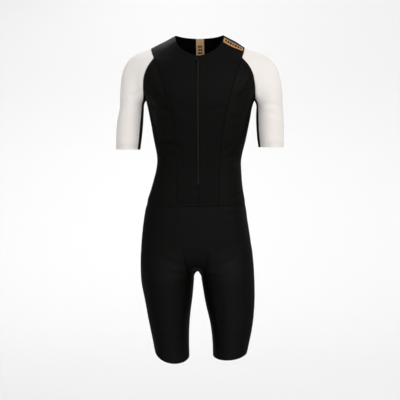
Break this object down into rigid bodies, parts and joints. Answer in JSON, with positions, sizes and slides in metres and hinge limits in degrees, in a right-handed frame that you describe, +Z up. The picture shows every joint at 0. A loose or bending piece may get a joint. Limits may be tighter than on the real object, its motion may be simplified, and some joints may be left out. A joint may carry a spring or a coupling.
{
  "type": "triathlon suit",
  "caption": "Short-sleeved one-piece triathlon suit with a front zip, filled out as if worn, hollow and open at neck, cuffs and legs.",
  "frame": {"origin": "between the two shoulder seams, level with their outer ends, where the wearer's shoulders hold the suit", "axes": "+Z up, -Y the way the suit faces, +X towards the wearer's left"},
  "size_m": [0.4927, 0.2367, 0.9588],
  "materials": {
    "black_knit": "black polyamide and elastane knit with a soft sheen",
    "white_knit": "off-white textured knit",
    "tan_tape": "tan woven tape",
    "zip_teeth": "dark grey nylon coil",
    "zip_metal": "black enamelled zinc"
  },
  "bodies": {
    "suit": {"front_left": "black_knit", "front_right": "black_knit", "side_front_left": "black_knit", "side_front_right": "black_knit", "back": "black_knit", "sleeve_left": "white_knit", "sleeve_right": "white_knit", "sleeve_under_left": "black_knit", "sleeve_under_right": "black_knit", "shorts_front": "black_knit", "shorts_back": "black_knit", "gusset": "black_knit", "zip_chain": "zip_teeth", "zip_slider": "zip_metal", "neck_tape": "tan_tape", "shoulder_tape": "tan_tape"},
    "pull": {"zip_pull": "zip_metal"}
  },
  "joints": [
    {"name": "pull_swing", "type": "hinge", "parent": "suit", "child": "pull", "pos_m": [0, -0.08023, -0.03407], "axis": [-0.866, 0.243, 0.437], "range_deg": [0, 150]}
  ]
}
